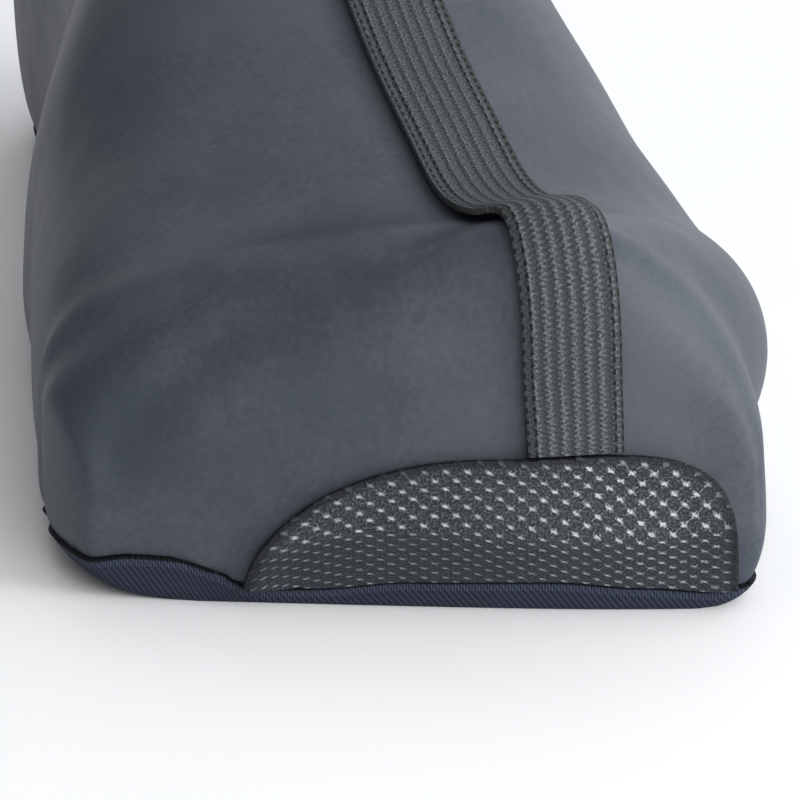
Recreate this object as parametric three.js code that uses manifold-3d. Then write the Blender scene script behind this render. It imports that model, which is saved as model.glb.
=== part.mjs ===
// Overshoe for a cyclist's right foot, as it stands when a shoe fills it.
// Millimetres, +Z up, toe towards -Y, inner side of the foot towards +X.
import * as THREE from 'three';
import { mergeVertices } from 'three/addons/utils/BufferGeometryUtils.js';
import Module from 'manifold-3d';

const wasm = await Module();
wasm.setup();

// Driving sizes
const LENGTH = 298;
const BALL_WIDTH = 118;
const HEIGHT = 226;
const CLOTH = 2;
const GAP = 0.3;
const FLOOR_PRESS = 0.8;

// Toe front: how deep its rounding is, how far each edge of its flat face is drawn in,
// and how far the face is tucked back below its fold
const NOSE = {
  depth: 22,
  lean: 5.5,
  crown: 22,
  outer: 4,
  inner: 7,
  floor: 1,
  bulge: 3.5,
  bulgeDrop: 5,
  tuck: 2,
  tuckTop: 13,
  crownSweep: -0.02,
  floorSweep: 0.3,
  floorRound: 6,
  steps: 5,
};

// Centre tape over the toe and up the instep
const TAPE = { width: 16, thickness: 1, frontNarrowing: 0.08, frontEnd: 12, frontFade: 14 };

// Toe cap: a low arch over the toe front, steeper at its inner end, short of the inner corner
const CAP = {
  width: 76,
  height: 25,
  thickness: 1.2,
  innerMargin: 1.1,
  sweepDegrees: 23,
  reachBack: 10,
  reachFront: 40,
  outerRound: 2,
  innerRound: 4.5,
};

// Sole panel: its side stands out a little from the upper
const SOLE = { side: 4, rim: 0.8, frontEnd: 30, frontFade: 25 };

// Height of the sole panel's side across the toe front, from the outer corner to the inner one.
// Across is a share of BALL_WIDTH, height is a share of the panel's side.
const TOE_SEAM = [
  { across: -0.68, height: 1 },
  { across: -0.6, height: 1.5 },
  { across: -0.54, height: 1.8 },
  { across: -0.49, height: 1.75 },
  { across: -0.44, height: 1.3 },
  { across: -0.4, height: 0.6 },
  { across: -0.33, height: 0.7 },
  { across: -0.2, height: 1.1 },
  { across: -0.03, height: 1.2 },
  { across: 0.08, height: 0.95 },
  { across: 0.17, height: 0.75 },
  { across: 0.26, height: 1 },
];

// How softly a section's plane bends where its outer half meets its inner half
const BEND = 14;

// Folds of the cloth, pressed into the form along a path: where the toe box meets the instep
// on the outer side, and a faint one above it. Depth and reach are millimetres.
// Path points are shares of BALL_WIDTH, LENGTH and HEIGHT.
const FOLDS = [
  {
    depth: 2.2,
    reach: 6,
    path: [
      { across: -0.09, along: 0.085, up: 0.252 },
      { across: -0.17, along: 0.069, up: 0.248 },
      { across: -0.28, along: 0.071, up: 0.224 },
      { across: -0.37, along: 0.08, up: 0.2 },
      { across: -0.45, along: 0.084, up: 0.169 },
      { across: -0.51, along: 0.087, up: 0.142 },
      { across: -0.56, along: 0.089, up: 0.107 },
    ],
  },
  {
    depth: 0.7,
    reach: 8,
    path: [
      { across: -0.16, along: 0.221, up: 0.265 },
      { across: -0.24, along: 0.213, up: 0.254 },
      { across: -0.35, along: 0.199, up: 0.23 },
    ],
  },
];

// How finely the form and the cutting blocks are meshed
const AROUND = 44;
const STEPS_PER_ROW = 2;
const FACE_RINGS = [0.3, 0.65];
const ARCH_POINTS = 12;
const SEAM_COLUMNS = 64;
const SEAM_ROWS = 22;
const TAPE_ROWS = 40;

// How far the cutting blocks reach past the form
const BLOCK_MARGIN = 20;

// Sections from the toe box to the top hem. Each is a closed curve between a point on the floor line
// and a point on the crown line. Y and widths are shares of LENGTH and BALL_WIDTH, Z is a share of HEIGHT,
// and widest is a share of the section's own height. The rounds are exponents (2 is an ellipse, more is
// squarer), and the sweeps are slopes.
const COLUMNS = [
  'floorY', 'floorZ', 'crownY', 'crownZ', 'outer', 'inner', 'widest', 'middle',
  'outerFloorRound', 'innerFloorRound', 'outerCrownRound', 'innerCrownRound', 'outerSweep', 'innerSweep',
];
const SECTIONS = [
  [0.067, 0, 0.044, 0.267, 0.616, 0.28, 0.47, 0, 9, 2.4, 1.45, 1.6, 0.4, -0.04],
  [0.094, 0, 0.078, 0.257, 0.602, 0.365, 0.46, 0, 9, 2.2, 1.8, 1.85, 0.38, -0.14],
  [0.124, 0, 0.113, 0.24, 0.6, 0.412, 0.45, 0, 9, 2.4, 2.4, 2.1, 0.33, -0.28],
  [0.158, 0, 0.154, 0.241, 0.583, 0.42, 0.42, 0, 8, 2.6, 2.7, 2.1, 0.25, -0.37],
  [0.211, 0, 0.206, 0.266, 0.57, 0.415, 0.38, 0, 7, 3.2, 2.5, 2.2, 0.18, -0.33],
  [0.279, 0, 0.265, 0.297, 0.54, 0.408, 0.35, 0, 7, 4, 2.3, 2.15, 0.13, -0.17],
  [0.362, 0, 0.329, 0.342, 0.5, 0.409, 0.32, 0.003, 6, 5, 2.2, 2.07, 0.08, -0.04],
  [0.47, 0, 0.388, 0.402, 0.466, 0.392, 0.3, 0.013, 6, 6, 2.15, 1.95, 0.04, 0],
  [0.587, 0, 0.441, 0.466, 0.398, 0.378, 0.25, 0.027, 6, 6, 2.15, 2.05, 0.02, 0],
  [0.705, 0, 0.489, 0.536, 0.315, 0.365, 0.22, 0.043, 6, 6, 2.13, 2.08, 0, 0],
  [0.815, 0, 0.524, 0.6, 0.268, 0.35, 0.2, 0.055, 6, 6, 2.1, 2.1, 0, 0],
  [0.913, 0, 0.548, 0.657, 0.262, 0.345, 0.2, 0.06, 4, 4, 2.1, 2.1, 0, 0],
  [0.97, 0.044, 0.564, 0.71, 0.262, 0.345, 0.24, 0.06, 2.6, 2.6, 2.2, 2.2, 0, 0],
  [0.993, 0.142, 0.576, 0.76, 0.268, 0.345, 0.34, 0.06, 2.3, 2.3, 2.2, 2.2, 0, 0],
  [0.99, 0.283, 0.586, 0.812, 0.27, 0.35, 0.42, 0.06, 2.2, 2.2, 2.2, 2.2, 0, 0],
  [0.966, 0.434, 0.594, 0.866, 0.295, 0.355, 0.48, 0.06, 2.1, 2.1, 2.1, 2.1, 0, 0],
  [0.94, 0.66, 0.602, 0.93, 0.322, 0.368, 0.5, 0.06, 2, 2, 2, 2, 0, 0],
  [0.926, 1, 0.608, 1, 0.34, 0.38, 0.5, 0.06, 2, 2, 2, 2, 0, 0],
];
const UNITS = [LENGTH, HEIGHT, LENGTH, HEIGHT, BALL_WIDTH, BALL_WIDTH, 1, BALL_WIDTH, 1, 1, 1, 1, 1, 1];

function rowInMillimetres(index) {
  return SECTIONS[index].map((share, column) => share * UNITS[column]);
}

// A smooth curve through the rows, taken column by column
function rowAt(index, fraction) {
  const last = SECTIONS.length - 1;
  const here = rowInMillimetres(index);
  const next = rowInMillimetres(index + 1);
  const before = index > 0 ? rowInMillimetres(index - 1) : here.map((v, k) => 2 * v - next[k]);
  const after = index + 1 < last ? rowInMillimetres(index + 2) : next.map((v, k) => 2 * v - here[k]);
  return here.map((value, k) => {
    const slopeHere = (next[k] - before[k]) / 2;
    const slopeNext = (after[k] - value) / 2;
    const rest = 1 - fraction;
    return value * rest * rest * (1 + 2 * fraction) + next[k] * fraction * fraction * (3 - 2 * fraction)
      + slopeHere * fraction * rest * rest - slopeNext * fraction * fraction * rest;
  });
}

function named(row) {
  return Object.fromEntries(COLUMNS.map((name, k) => [name, row[k]]));
}

// The rounded front: the first section drawn in along quarter ellipses down to the face of the toe
function noseSection(step) {
  const first = named(rowInMillimetres(0));
  const angle = (Math.PI / 2) * (step / NOSE.steps);
  const forward = Math.sin(angle);
  const drawnIn = 1 - Math.cos(angle);
  return {
    ...first,
    forward,
    floorY: first.floorY - NOSE.depth * forward,
    crownY: first.crownY + (first.floorY - NOSE.depth + NOSE.lean - first.crownY) * forward,
    floorZ: first.floorZ + NOSE.floor * drawnIn,
    crownZ: first.crownZ - NOSE.crown * drawnIn,
    outer: first.outer - NOSE.outer * drawnIn,
    inner: first.inner - NOSE.inner * drawnIn,
    innerSweep: first.innerSweep + (NOSE.crownSweep - first.innerSweep) * forward,
    innerFloorSweep: first.innerSweep + (NOSE.floorSweep - first.innerSweep) * forward,
    innerFloorRound: first.innerFloorRound + (NOSE.floorRound - first.innerFloorRound) * forward,
  };
}

function allSections() {
  const list = [];
  for (let step = NOSE.steps; step > 0; step -= 1) {
    list.push(noseSection(step));
  }
  for (let index = 0; index < SECTIONS.length - 1; index += 1) {
    for (let k = 0; k < STEPS_PER_ROW; k += 1) {
      list.push(named(rowAt(index, k / STEPS_PER_ROW)));
    }
  }
  list.push(named(rowInMillimetres(SECTIONS.length - 1)));
  return list;
}

// One section as a ring of points that starts at the crown and goes over the outer side
function ring(section) {
  const points = [];
  for (let k = 0; k < AROUND; k += 1) {
    const angle = (2 * Math.PI * k) / AROUND;
    const across = Math.sin(angle);
    const up = Math.cos(angle);
    const outerSide = across > 0;
    const crownRound = outerSide ? section.outerCrownRound : section.innerCrownRound;
    const floorRound = outerSide ? section.outerFloorRound : section.innerFloorRound;
    const round = up > 0 ? crownRound : floorRound;
    const radius = (Math.abs(across) ** round + Math.abs(up) ** round) ** (-1 / round);
    const x = section.middle - radius * across * (outerSide ? section.outer : section.inner);
    const reach = up > 0 ? 1 - section.widest : section.widest;
    const height = section.widest + radius * up * reach;
    const floorSweep = section.innerFloorSweep ?? section.innerSweep;
    const risen = THREE.MathUtils.smoothstep(height, 0, 1);
    const innerSweep = floorSweep + (section.innerSweep - floorSweep) * risen;
    const evenSweep = (innerSweep + section.outerSweep) / 2;
    const bentSweep = (innerSweep - section.outerSweep) / 2;
    const setBack = evenSweep * x + bentSweep * (Math.hypot(x, BEND) - BEND);
    const y = section.floorY + (section.crownY - section.floorY) * height - setBack;
    const z = section.floorZ + (section.crownZ - section.floorZ) * height - FLOOR_PRESS;
    points.push(new THREE.Vector3(x, y, Math.max(z, 0)));
  }
  return points;
}

function middleOf(points) {
  const sum = points.reduce((total, point) => total.add(point), new THREE.Vector3());
  return sum.divideScalar(points.length);
}

// Below its fold the toe front is tucked back
function tuckedRing(points, forward) {
  return points.map((point) => {
    const low = 1 - THREE.MathUtils.smoothstep(point.z, SOLE.side, NOSE.tuckTop);
    return new THREE.Vector3(point.x, point.y + NOSE.tuck * forward * low, point.z);
  });
}

// All rings of the form, the small ones on the toe's face first, and the point that closes the face
function outerForm() {
  const sections = allSections();
  const rim = ring(sections[0]);
  const centre = middleOf(rim);
  centre.z -= NOSE.bulgeDrop;
  const faceRings = FACE_RINGS.map((share) => rim.map((point) => {
    const inside = centre.clone().lerp(point, share);
    inside.y -= NOSE.bulge * (1 - share * share);
    return inside;
  }));
  const tip = centre.clone();
  tip.y -= NOSE.bulge;
  const rings = [
    ...faceRings.map((points) => tuckedRing(points, 1)),
    ...sections.map((section) => tuckedRing(ring(section), section.forward ?? 0)),
  ];
  return { rings, tip };
}

// Unit normals of a form, pointing out
function normalsOf({ rings, tip }) {
  const last = rings.length - 1;
  return rings.map((points, i) => points.map((point, k) => {
    const ahead = rings[Math.min(i + 1, last)][k];
    const behind = i > 0 ? rings[i - 1][k] : tip;
    const along = ahead.clone().sub(behind);
    const left = points[(k + 1) % AROUND];
    const right = points[(k + AROUND - 1) % AROUND];
    const around = left.clone().sub(right);
    const normal = along.cross(around);
    if (i === last) {
      normal.z = 0;
    }
    return normal.normalize();
  }));
}

// How far the folds press a point in
function foldDepth(point) {
  return FOLDS.reduce((total, fold) => {
    const path = fold.path.map((at) => new THREE.Vector3(
      at.across * BALL_WIDTH,
      at.along * LENGTH,
      at.up * HEIGHT,
    ));
    const distances = path.slice(1).map((end, k) => {
      const nearest = new THREE.Line3(path[k], end).closestPointToPoint(point, true, new THREE.Vector3());
      return nearest.distanceTo(point);
    });
    const away = Math.min(...distances) / fold.reach;
    return total + fold.depth * Math.exp(-away * away);
  }, 0);
}

function foldedForm() {
  const plain = outerForm();
  const normals = normalsOf(plain);
  const rings = plain.rings.map((points, i) => points.map((point, k) => (
    point.clone().addScaledVector(normals[i][k], -foldDepth(point))
  )));
  return { rings, tip: plain.tip };
}

const FORM = foldedForm();
const NORMALS = normalsOf(FORM);

// The form moved outwards by a distance, never below the floor
function skin(distance) {
  const rings = FORM.rings.map((points, i) => points.map((point, k) => {
    const moved = point.clone().addScaledVector(NORMALS[i][k], distance);
    moved.z = Math.max(moved.z, Math.max(-distance, 0));
    return moved;
  }));
  const tip = FORM.tip.clone();
  tip.y -= distance;
  return { rings, tip };
}

// Triangles of one skin: a fan on the toe's face, then a band between each two rings
function skinTriangles(rings, first, tip, flipped) {
  const faces = [];
  const add = (a, b, c) => faces.push(flipped ? [a, c, b] : [a, b, c]);
  for (let k = 0; k < AROUND; k += 1) {
    const next = (k + 1) % AROUND;
    add(tip, first + k, first + next);
    for (let i = 0; i < rings.length - 1; i += 1) {
      const here = first + i * AROUND;
      const there = here + AROUND;
      add(here + k, there + next, here + next);
      add(here + k, there + k, there + next);
    }
  }
  return faces;
}

// A closed body between two skins, joined along the top hem
function layer(innerDistance, outerDistance) {
  const outside = skin(outerDistance);
  const inside = skin(innerDistance);
  const points = [...outside.rings.flat(), outside.tip, ...inside.rings.flat(), inside.tip];
  const outsideCount = outside.rings.flat().length;
  const insideFirst = outsideCount + 1;
  const faces = [
    ...skinTriangles(outside.rings, 0, outsideCount, false),
    ...skinTriangles(inside.rings, insideFirst, points.length - 1, true),
  ];
  const hem = (outside.rings.length - 1) * AROUND;
  for (let k = 0; k < AROUND; k += 1) {
    const next = (k + 1) % AROUND;
    faces.push([hem + k, insideFirst + hem + next, hem + next]);
    faces.push([hem + k, insideFirst + hem + k, insideFirst + hem + next]);
  }
  const geometry = new THREE.BufferGeometry();
  geometry.setAttribute('position', new THREE.Float32BufferAttribute(points.flatMap((p) => p.toArray()), 3));
  geometry.setIndex(faces.flat());
  return solid(geometry);
}

// A closed geometry as a solid that can be cut
function solid(geometry) {
  const bare = geometry.clone();
  bare.deleteAttribute('normal');
  bare.deleteAttribute('uv');
  const merged = mergeVertices(bare);
  return new wasm.Manifold(new wasm.Mesh({
    numProp: 3,
    vertProperties: new Float32Array(merged.attributes.position.array),
    triVerts: new Uint32Array(merged.index.array),
  }));
}

function meshOf(name, body, look) {
  const { vertProperties, triVerts } = body.getMesh();
  const geometry = new THREE.BufferGeometry();
  geometry.setAttribute('position', new THREE.Float32BufferAttribute(vertProperties, 3));
  geometry.setIndex(Array.from(triVerts));
  geometry.computeVertexNormals();
  const mesh = new THREE.Mesh(geometry, new THREE.MeshStandardMaterial(look));
  mesh.name = name;
  return mesh;
}

// Height of the seam between the sole panel and what is above it
function seamHeight(x, y) {
  const across = x / BALL_WIDTH;
  const next = TOE_SEAM.findIndex((row) => row.across > across);
  let share = 1;
  if (next > 0) {
    const from = TOE_SEAM[next - 1];
    const to = TOE_SEAM[next];
    const along = THREE.MathUtils.smoothstep(across, from.across, to.across);
    share = from.height + (to.height - from.height) * along;
  }
  const atFront = 1 - THREE.MathUtils.smoothstep(y, SOLE.frontEnd, SOLE.frontEnd + SOLE.frontFade);
  return SOLE.side * (1 + (share - 1) * atFront);
}

// A block under the seam, raised by a distance
function underSeam(raise) {
  const width = 2 * BALL_WIDTH;
  const depth = LENGTH + 2 * BLOCK_MARGIN;
  const block = new THREE.BoxGeometry(width, depth, HEIGHT, SEAM_COLUMNS, SEAM_ROWS, 1);
  block.translate(0, LENGTH / 2, 0);
  const position = block.attributes.position;
  for (let k = 0; k < position.count; k += 1) {
    if (position.getZ(k) > 0) {
      position.setZ(k, seamHeight(position.getX(k), position.getY(k)) + raise);
    }
  }
  return solid(block);
}

// The block over the tape: as wide as the tape, from the toe back to the middle of the leg
function tapeBlock() {
  const crown = SECTIONS.map((row, index) => named(rowInMillimetres(index)));
  const front = -NOSE.depth;
  const back = (crown.at(-1).floorY + crown.at(-1).crownY) / 2;
  const height = HEIGHT + 2 * BLOCK_MARGIN;
  const block = new THREE.BoxGeometry(TAPE.width, back - front, height, 1, TAPE_ROWS, 1);
  block.translate(0, (back + front) / 2, HEIGHT / 2);
  const position = block.attributes.position;
  for (let k = 0; k < position.count; k += 1) {
    const y = position.getY(k);
    position.setX(k, position.getX(k) * frontWidthShare(y) + crownMiddle(crown, y));
  }
  return solid(block);
}

// Seen from the front the tape is a little narrower where it runs down the swept face of the toe
function frontWidthShare(y) {
  const fade = THREE.MathUtils.smoothstep(y, TAPE.frontEnd, TAPE.frontEnd + TAPE.frontFade);
  return 1 - TAPE.frontNarrowing * (1 - fade);
}

// Sideways place of the crown line at a depth
function crownMiddle(crown, y) {
  const next = crown.findIndex((row) => row.crownY > y);
  if (next === 0) {
    return crown[0].middle;
  }
  if (next < 0) {
    return crown.at(-1).middle;
  }
  const from = crown[next - 1];
  const to = crown[next];
  return from.middle + (to.middle - from.middle) * ((y - from.crownY) / (to.crownY - from.crownY));
}

// The block in front of the toe whose outline is the cap's arch
function capBlock(grow) {
  const half = CAP.width / 2 + grow;
  const top = CAP.height + grow;
  const arch = new THREE.Shape();
  arch.moveTo(half, -CAP.height);
  for (let k = 0; k <= 2 * ARCH_POINTS; k += 1) {
    const angle = (Math.PI * k) / (2 * ARCH_POINTS);
    const along = Math.cos(angle);
    const up = Math.sin(angle);
    const round = along > 0 ? CAP.innerRound : CAP.outerRound;
    const radius = (Math.abs(along) ** round + up ** round) ** (-1 / round);
    arch.lineTo(radius * along * half, radius * up * top);
  }
  arch.lineTo(-half, -CAP.height);
  const depth = CAP.reachBack + CAP.reachFront;
  const block = new THREE.ExtrudeGeometry(arch, { depth, bevelEnabled: false });
  const innerCorner = named(rowInMillimetres(0)).inner - NOSE.inner;
  const middle = innerCorner - CAP.innerMargin - CAP.width / 2;
  block.translate(middle, 0, -CAP.reachBack);
  block.rotateX(Math.PI / 2);
  block.rotateZ(-THREE.MathUtils.degToRad(CAP.sweepDegrees));
  return solid(block);
}

const upper = layer(-CLOTH, 0).subtract(underSeam(GAP));
const solePanel = layer(-CLOTH, SOLE.rim).intersect(underSeam(0));
const toeCap = layer(GAP, GAP + CAP.thickness).intersect(capBlock(0)).subtract(underSeam(GAP));
const frontTape = layer(GAP, GAP + TAPE.thickness).intersect(tapeBlock())
  .subtract(capBlock(GAP)).subtract(underSeam(GAP));

const overshoe = new THREE.Group();
overshoe.add(
  meshOf('upper', upper, { color: 0x4a525c, roughness: 0.45, metalness: 0 }),
  meshOf('sole_panel', solePanel, { color: 0x1e222c, roughness: 0.85, metalness: 0 }),
  meshOf('toe_cap', toeCap, { color: 0x3a434d, roughness: 0.7, metalness: 0 }),
  meshOf('front_tape', frontTape, { color: 0x33363a, roughness: 0.8, metalness: 0 }),
);

// The origin is on the floor, under the middle of the box around the overshoe
const box = new THREE.Box3().setFromObject(overshoe);
const centre = box.getCenter(new THREE.Vector3());
overshoe.position.set(-centre.x, -centre.y, -box.min.z);

export default overshoe;
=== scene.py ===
"""Looks of the overshoe: its cloth, mesh, tape and sole fabric, the floor, the light and the camera.

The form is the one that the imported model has, made finer. Working coordinates are millimetres from a point
on the floor below the tape's foot at the toe, as in the part's source. Finished meshes are in metres in the
part's own frame.
"""
import math

import bmesh
import bpy
import numpy as np
from bpy.props import FloatProperty, FloatVectorProperty, IntProperty, PointerProperty
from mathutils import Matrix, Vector


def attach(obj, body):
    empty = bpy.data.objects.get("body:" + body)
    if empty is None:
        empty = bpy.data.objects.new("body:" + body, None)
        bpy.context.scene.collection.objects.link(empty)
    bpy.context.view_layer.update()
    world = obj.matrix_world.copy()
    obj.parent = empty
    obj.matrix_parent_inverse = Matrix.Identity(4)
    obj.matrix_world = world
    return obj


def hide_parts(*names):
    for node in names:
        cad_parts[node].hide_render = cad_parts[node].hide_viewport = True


bl_info = {
    "name": "Overshoe",
    "version": (1, 0, 0),
    "blender": (4, 5, 0),
    "location": "3D View > Sidebar > Overshoe",
    "description": "Builds the finished overshoe on its packed frame",
    "category": "Object",
}

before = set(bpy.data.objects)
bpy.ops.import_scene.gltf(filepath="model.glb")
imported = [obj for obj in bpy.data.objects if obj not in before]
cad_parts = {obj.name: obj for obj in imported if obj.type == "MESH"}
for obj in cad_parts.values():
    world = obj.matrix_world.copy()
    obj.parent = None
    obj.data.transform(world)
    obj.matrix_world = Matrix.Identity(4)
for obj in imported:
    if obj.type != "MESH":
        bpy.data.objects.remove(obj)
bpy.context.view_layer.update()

# A millimetre in metres, a length that guards a division, and one beyond any real distance
MM = 0.001
TINY = 1e-9
FAR = 1e9

# Sections from the toe box to the top hem, as in the part's source: Y and widths are shares of the length and
# the ball width, Z is a share of the height, and widest is a share of the section's own height. The rounds
# are exponents and the sweeps are slopes.
COLUMNS = (
    "floor_y", "floor_z", "crown_y", "crown_z", "outer", "inner", "widest", "middle",
    "outer_floor_round", "inner_floor_round", "outer_crown_round", "inner_crown_round",
    "outer_sweep", "inner_sweep",
)
SECTIONS = (
    (0.067, 0, 0.044, 0.267, 0.616, 0.28, 0.47, 0, 9, 2.4, 1.45, 1.6, 0.4, -0.04),
    (0.094, 0, 0.078, 0.257, 0.602, 0.365, 0.46, 0, 9, 2.2, 1.8, 1.85, 0.38, -0.14),
    (0.124, 0, 0.113, 0.24, 0.6, 0.412, 0.45, 0, 9, 2.4, 2.4, 2.1, 0.33, -0.28),
    (0.158, 0, 0.154, 0.241, 0.583, 0.42, 0.42, 0, 8, 2.6, 2.7, 2.1, 0.25, -0.37),
    (0.211, 0, 0.206, 0.266, 0.57, 0.415, 0.38, 0, 7, 3.2, 2.5, 2.2, 0.18, -0.33),
    (0.279, 0, 0.265, 0.297, 0.54, 0.408, 0.35, 0, 7, 4, 2.3, 2.15, 0.13, -0.17),
    (0.362, 0, 0.329, 0.342, 0.5, 0.409, 0.32, 0.003, 6, 5, 2.2, 2.07, 0.08, -0.04),
    (0.47, 0, 0.388, 0.402, 0.466, 0.392, 0.3, 0.013, 6, 6, 2.15, 1.95, 0.04, 0),
    (0.587, 0, 0.441, 0.466, 0.398, 0.378, 0.25, 0.027, 6, 6, 2.15, 2.05, 0.02, 0),
    (0.705, 0, 0.489, 0.536, 0.315, 0.365, 0.22, 0.043, 6, 6, 2.13, 2.08, 0, 0),
    (0.815, 0, 0.524, 0.6, 0.268, 0.35, 0.2, 0.055, 6, 6, 2.1, 2.1, 0, 0),
    (0.913, 0, 0.548, 0.657, 0.262, 0.345, 0.2, 0.06, 4, 4, 2.1, 2.1, 0, 0),
    (0.97, 0.044, 0.564, 0.71, 0.262, 0.345, 0.24, 0.06, 2.6, 2.6, 2.2, 2.2, 0, 0),
    (0.993, 0.142, 0.576, 0.76, 0.268, 0.345, 0.34, 0.06, 2.3, 2.3, 2.2, 2.2, 0, 0),
    (0.99, 0.283, 0.586, 0.812, 0.27, 0.35, 0.42, 0.06, 2.2, 2.2, 2.2, 2.2, 0, 0),
    (0.966, 0.434, 0.594, 0.866, 0.295, 0.355, 0.48, 0.06, 2.1, 2.1, 2.1, 2.1, 0, 0),
    (0.94, 0.66, 0.602, 0.93, 0.322, 0.368, 0.5, 0.06, 2, 2, 2, 2, 0, 0),
    (0.926, 1, 0.608, 1, 0.34, 0.38, 0.5, 0.06, 2, 2, 2, 2, 0, 0),
)

# Seam height across the toe: share of the ball width, share of the panel's side
TOE_SEAM = (
    (-0.68, 1), (-0.6, 1.5), (-0.54, 1.8), (-0.49, 1.75), (-0.44, 1.3), (-0.4, 0.6),
    (-0.33, 0.7), (-0.2, 1.1), (-0.03, 1.2), (0.08, 0.95), (0.17, 0.75), (0.26, 1),
)

# Folds pressed into the cloth: depth and reach in mm, then a path in shares of the ball width, the length and
# the height
FOLDS = (
    (2.2, 6, ((-0.09, 0.085, 0.252), (-0.17, 0.069, 0.248), (-0.28, 0.071, 0.224), (-0.37, 0.08, 0.2),
              (-0.45, 0.084, 0.169), (-0.51, 0.087, 0.142), (-0.56, 0.089, 0.107))),
    (0.7, 8, ((-0.16, 0.221, 0.265), (-0.24, 0.213, 0.254), (-0.35, 0.199, 0.23))),
)

# The rounded toe front, as in the part's source: lengths in mm, sweeps as slopes and the round as an exponent
NOSE = {
    "depth": 22, "lean": 5.5, "crown": 22, "outer": 4, "inner": 7, "floor": 1, "bulge": 3.5,
    "bulge_drop": 5, "tuck": 2, "tuck_top": 13, "crown_sweep": -0.02, "floor_sweep": 0.3, "floor_round": 6,
}

# How softly a section bends where its halves meet, and how far the form is pressed into the floor, in mm
BEND = 14
FLOOR_PRESS = 0.8

# The toe cap: lengths in mm, its sweep in degrees and its rounds as exponents. Inside its edge it is moved
# along its normals by the puff, its rows of cells arch down towards its ends, and below its fold they are
# closer together by the squash.
CAP = {
    "inner_margin": 1.1, "sweep": 23, "outer_round": 2, "inner_round": 4.5, "reach_back": 10,
    "puff": 1.3, "puff_reach": 5, "row_arch": 4.5, "squash": 1.8,
}

# Where the toe's seam line fades into the even one behind it, in mm
SEAM_FADE = {"start": 30, "length": 25}

# The tape at the toe: the share by which it narrows, where that ends and over what length, how low the tape
# reaches and from what height its run is measured, in mm
TAPE_FRONT = {"narrowing": 0.08, "end": 12, "length": 14, "lowest": 10, "run_from": 5}

# How near points are merged, in mm: where the grid closes on itself, and along a cut
MERGE = {"grid": 1e-4, "cut": 0.02}

# Rounded edges: radii in mm, faces across each, and the least angle in degrees that is rounded
EDGE = {"cloth": 0.3, "tape": 0.25, "segments": 2, "angle": 50}

# The fold across the cap: mm from the cap's middle, and height above the floor
CAP_FOLD = ((-38, 7), (-33, 9.9), (-20, 13.2), (-5, 13.2), (23, 11.5), (37, 13.2))

# Marks of the coated cloth in mm. The drag lines are drawn out by the stretch.
CLOTH_MARKS = {
    "patches": 38, "speckle": 1.1, "grain": 0.55, "soft": 22, "drag": 11, "drag_stretch": (1, 4, 1.8),
    "relief": 1.1,
}

# Weave of the tape in mm: the pitch of its lines, the height of a zigzag, where the toe's weave gives way to
# the instep's, its rows of stitches from the middle, and their pitch and width
TAPE_WEAVE = {
    "lines": 2.0, "zigzag": 0.45, "toe_until": 70, "instep_from": 76, "stitch_rows": (6.1, 7.3),
    "stitches": 1.9, "stitch_core": 0.14, "stitch_edge": 0.34, "fuzz": 0.42, "relief": 0.3,
}

# Cells of the cap's mesh in mm. The shapes stretch a cell and a knot, and the turn of a knot is in degrees.
# The inner end is the span over which the painted light on the strands rises, the fold gives where the
# painted shade below the cap's fold fades out, and the last pair how far in from the cap's edge its painted
# shade reaches.
MESH_CELLS = {
    "width": 3.3, "height": 3.0, "cell_shape": (1, 0.95, 0), "knot_shape": (0.75, 1.7, 0), "knot_turn": 28,
    "fuzz": 0.4, "patches": 8, "inner_end": 30, "fold": (-0.4, 2.2), "painted_edge_shade": (0.2, 1.5), "relief": 0.35,
}

# Ribs of the sole fabric in mm, its overlocked band and its strip of painted shadow from the seam down, and
# the ribs' slant
SOLE_RIBS = {
    "pitch": 1.3, "slant": 0.9, "fuzz": 0.5, "band": (-1.6, -1.3), "loops": 0.6, "edge": (-0.45, -0.15),
    "relief": 0.15,
}

# The floor: half its side in metres, and the mottling of its paint in mm
FLOOR = {"half": 6, "mottle": 120}

# Light from all round, stronger from the inner side of the foot: its colour, where it rises, gain and least
SKY = {"colour": (0.95, 0.97, 1, 1), "rise": (-0.7, 0.8), "gain": 1.2, "least": 0.18}

# Area lights: name, place in metres, power in watts and width in metres. All are aimed at one point.
LIGHTS = (
    ("key_light", (1.3, -1.2, 0.6), 18, 0.9),
    ("front_light", (0.0, -1.6, 0.8), 11, 1.1),
    ("back_light", (0.2, 1.2, 1.3), 2, 0.8),
)
LIGHT_AIM = (0, 0, 0.08)

# The camera: place in working mm, focal length and frame in pixels, sensor in mm, how far it looks down and
# is turned in degrees, and how far it sees in metres
CAMERA = {
    "place": (-225.344, -606.909, 269.484), "focal": 4550, "frame": 800, "sensor": 36,
    "down": 20, "turn": -18, "sight": 50,
}


def millimetres(name, description, default, least=0.05):
    """A size that a user can change."""
    return FloatProperty(name=name, description=description + ", in mm", default=default, min=least)


def linear(text):
    """Linear colour of an sRGB hex value."""
    parts = [int(text[k:k + 2], 16) / 255 for k in (1, 3, 5)]
    return tuple(p / 12.92 if p <= 0.04045 else ((p + 0.055) / 1.055) ** 2.4 for p in parts)


def hex_colour(name, description, text):
    """A colour that a user can change, from its sRGB hex value."""
    return FloatVectorProperty(
        name=name, description=description, default=linear(text), subtype="COLOR", size=3,
    )


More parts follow.
